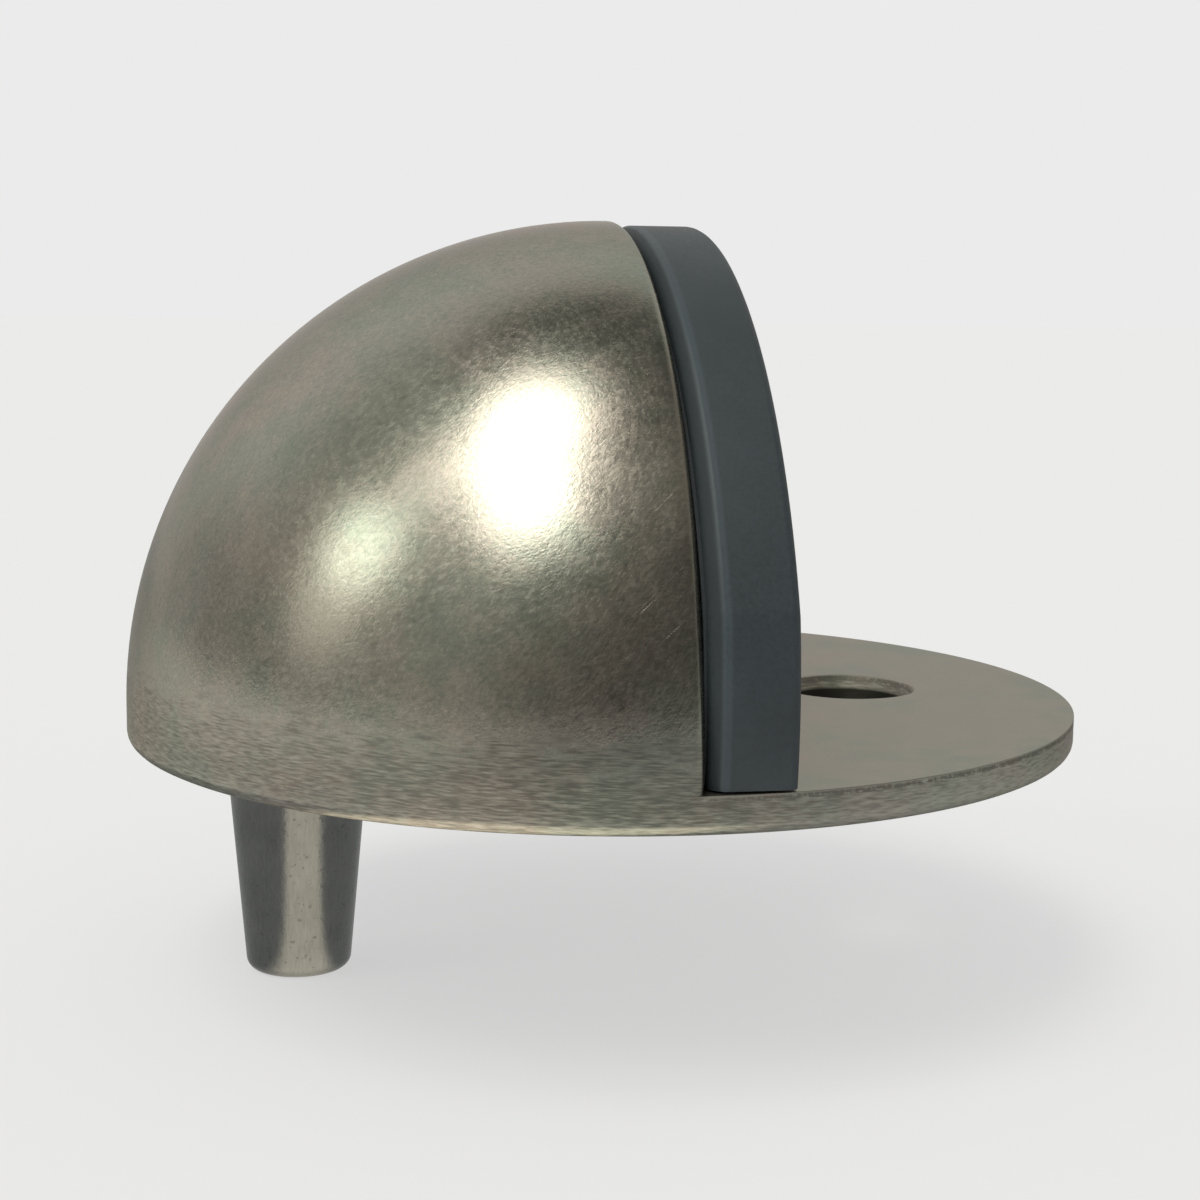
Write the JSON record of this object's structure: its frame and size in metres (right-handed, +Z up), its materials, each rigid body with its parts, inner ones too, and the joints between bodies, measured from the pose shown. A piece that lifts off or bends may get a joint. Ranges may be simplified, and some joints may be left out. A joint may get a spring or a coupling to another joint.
{
  "type": "floor door stop",
  "caption": "Half-dome metal floor door stop with a round base, a rubber buffer on its flat face, a countersunk screw hole and a tapered locating pin under the dome.",
  "frame": {"origin": "centre of the round base, on the floor face", "axes": "+Z up, square to the floor; +X from the dome towards the door that meets the buffer; +Y to the left of that"},
  "size_m": [0.045, 0.045, 0.0356],
  "materials": {
    "satin_nickel": "cast zinc, satin nickel plated and finely scratch-brushed",
    "buffer_rubber": "matt moulded, dark blue-grey",
    "pin_nickel": "smooth as cast, nickel plated, faintly pitted"
  },
  "bodies": {
    "root": {"stop_body": "satin_nickel", "rubber_buffer": "buffer_rubber", "locating_pin": "pin_nickel"}
  },
  "joints": []
}
